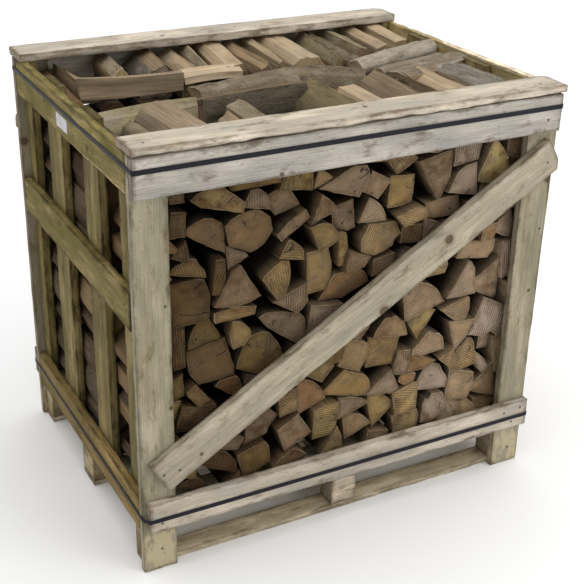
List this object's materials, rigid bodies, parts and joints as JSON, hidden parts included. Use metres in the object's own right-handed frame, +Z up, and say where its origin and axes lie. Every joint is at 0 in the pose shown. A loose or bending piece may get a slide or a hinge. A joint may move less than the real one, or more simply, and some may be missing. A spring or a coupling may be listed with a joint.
{
  "type": "firewood crate",
  "caption": "Slatted timber crate on a pallet base, packed with split firewood logs and bound with flat straps.",
  "frame": {"origin": "middle of the footprint, on the floor", "axes": "+Z up, +X to the right along the front with the diagonal board, -Y out of the front"},
  "size_m": [1.1526, 0.8966, 1.12],
  "materials": {
    "crate_wood": "pale weathered sawn softwood, beige with grey stains, matt",
    "side_wood": "sawn softwood with an olive green algae tint, matt",
    "pallet_wood": "rough sawn pallet wood, dusty brown, matt",
    "log_wood": "split hardwood with saw-marked ends, tan to taupe, matt",
    "log_bark": "grey and brown hardwood bark with lichen, rough",
    "strap": "black polypropylene band with a fine embossed weave, low sheen",
    "label": "bare white paper label, matt"
  },
  "bodies": {
    "root": {"post_front_left": "crate_wood", "post_front_right": "crate_wood", "front_top_rail": "crate_wood", "front_bottom_rail": "crate_wood", "front_brace": "crate_wood", "post_back_left": "crate_wood", "post_back_right": "crate_wood", "back_top_rail": "crate_wood", "back_bottom_rail": "crate_wood", "back_brace": "crate_wood", "left_bottom_rail": "side_wood", "left_middle_rail": "side_wood", "left_top_rail": "side_wood", "left_slat_1": "side_wood", "left_slat_2": "side_wood", "left_slat_3": "side_wood", "left_slat_4": "side_wood", "right_bottom_rail": "side_wood", "right_middle_rail": "side_wood", "right_top_rail": "side_wood", "right_slat_1": "side_wood", "right_slat_2": "side_wood", "right_slat_3": "side_wood", "right_slat_4": "side_wood", "cap_front": "crate_wood", "cap_back": "crate_wood", "runner_front": "pallet_wood", "block_front_left": "pallet_wood", "block_front_middle": "pallet_wood", "block_front_right": "pallet_wood", "runner_middle": "pallet_wood", "block_middle_left": "pallet_wood", "block_middle_middle": "pallet_wood", "block_middle_right": "pallet_wood", "runner_back": "pallet_wood", "block_back_left": "pallet_wood", "block_back_middle": "pallet_wood", "block_back_right": "pallet_wood", "stringer_left": "pallet_wood", "stringer_middle": "pallet_wood", "stringer_right": "pallet_wood", "deck_board_1": "pallet_wood", "deck_board_2": "pallet_wood", "deck_board_3": "pallet_wood", "deck_board_4": "pallet_wood", "deck_board_5": "pallet_wood", "strap_lower": "strap", "strap_upper": "strap", "label": "label", "logs_front_row": "log_wood", "logs_middle_row": "log_wood", "logs_back_row": "log_wood", "log_squared": "log_wood", "log_mossy_bark": "log_bark", "log_grey_bark": "log_bark", "log_brown_bark": "log_bark", "log_short": "log_bark", "branch_pale": "log_bark", "branch_gnarled": "log_bark", "plank_split": "log_wood"}
  },
  "joints": []
}
